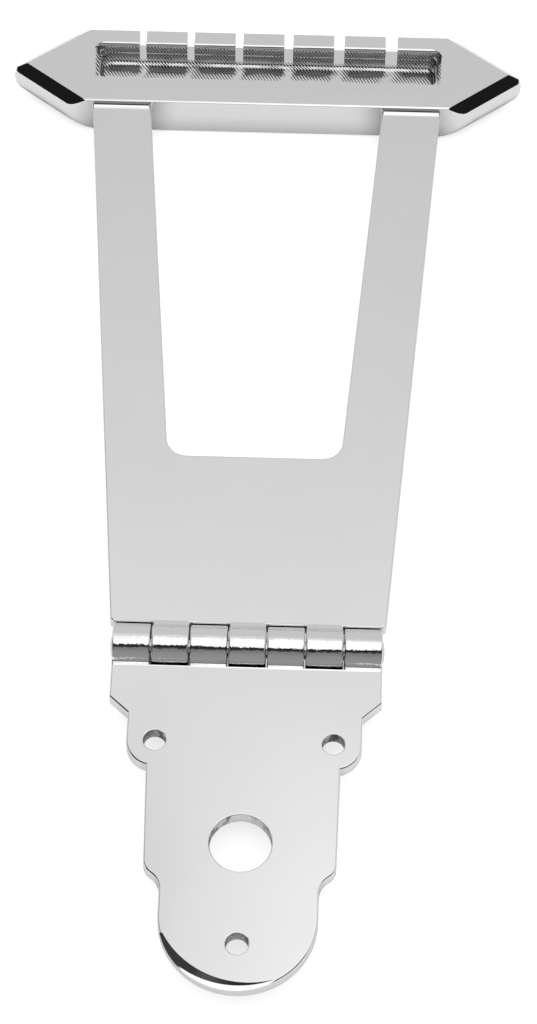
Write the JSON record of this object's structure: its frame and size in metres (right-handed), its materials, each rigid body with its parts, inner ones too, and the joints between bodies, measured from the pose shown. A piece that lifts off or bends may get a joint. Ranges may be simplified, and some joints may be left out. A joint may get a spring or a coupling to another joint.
{
  "type": "trapeze tailpiece",
  "caption": "Hinged chrome trapeze tailpiece: a slotted string bar on a tapering open frame, with an end bracket drilled for an end pin and wood screws.",
  "frame": {"origin": "centre of the end pin hole, on the back face of the end bracket", "axes": "+X right, +Y from the end bracket along the strings to the string bar, +Z out of the polished front face"},
  "size_m": [0.1058, 0.2159, 0.0108],
  "materials": {
    "bracket_chrome": "mirror chrome plate",
    "frame_chrome": "mirror chrome plate",
    "bar_chrome": "mirror chrome plate with milling marks in the pocket",
    "pin_steel": "plated steel with riveted ends",
    "screw_steel": "nickel plated steel"
  },
  "bodies": {
    "bracket": {"end_bracket": "bracket_chrome", "hinge_pin": "pin_steel"},
    "trapeze": {"trapeze_frame": "frame_chrome", "string_bar": "bar_chrome", "left_outer_leg_screw": "screw_steel", "left_inner_leg_screw": "screw_steel", "right_inner_leg_screw": "screw_steel", "right_outer_leg_screw": "screw_steel"}
  },
  "joints": [
    {"name": "trapeze_hinge", "type": "hinge", "parent": "bracket", "child": "trapeze", "pos_m": [0, 0.04, 0.0014], "axis": [-1, 0, 0], "range_deg": [-140, 140]}
  ]
}
